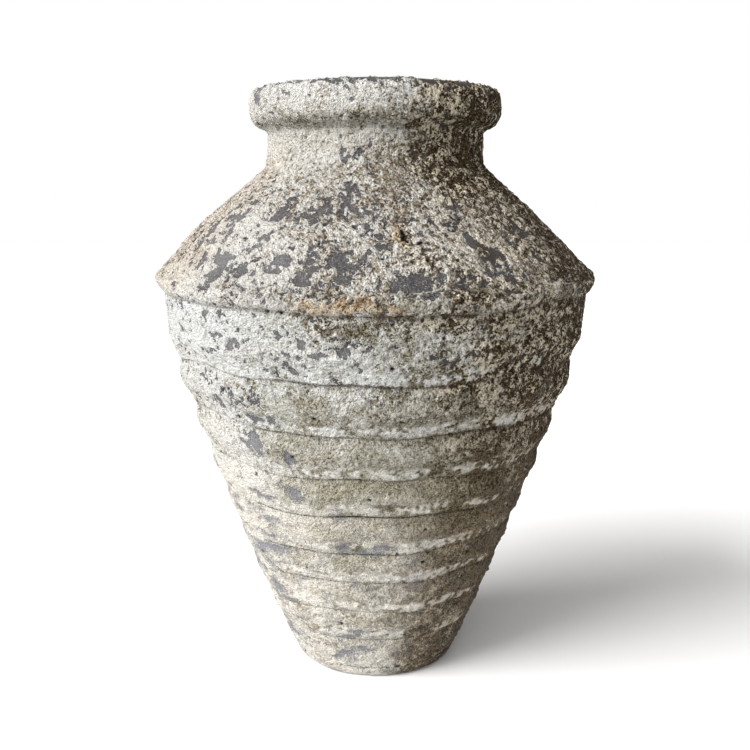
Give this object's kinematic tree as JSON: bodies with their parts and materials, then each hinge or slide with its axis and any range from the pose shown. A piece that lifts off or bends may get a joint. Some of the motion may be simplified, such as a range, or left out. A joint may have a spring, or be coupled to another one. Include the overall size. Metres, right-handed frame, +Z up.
{
  "type": "storage jar",
  "caption": "Tall storage jar of coil-built stoneware with a ribbed tapering body, a sharp corded shoulder, a short neck and a thick rolled rim round an open mouth.",
  "frame": {"origin": "centre of the foot's underside, on the surface that the jar stands on", "axes": "+Z up along the jar's axis, out of the mouth; the jar is round, so X and Y are free"},
  "size_m": [0.2982, 0.2982, 0.4],
  "materials": {
    "weathered_stoneware": "matte grey stoneware under a rough crust of pale lime and sand"
  },
  "bodies": {
    "root": {"foot_slab": "weathered_stoneware", "foot_course": "weathered_stoneware", "body_course_1": "weathered_stoneware", "body_course_2": "weathered_stoneware", "body_course_3": "weathered_stoneware", "body_course_4": "weathered_stoneware", "body_course_5": "weathered_stoneware", "body_course_6": "weathered_stoneware", "body_course_7": "weathered_stoneware", "belly_band": "weathered_stoneware", "shoulder_cordon": "weathered_stoneware", "shoulder": "weathered_stoneware", "neck_collar": "weathered_stoneware", "rim_roll": "weathered_stoneware"}
  },
  "joints": []
}
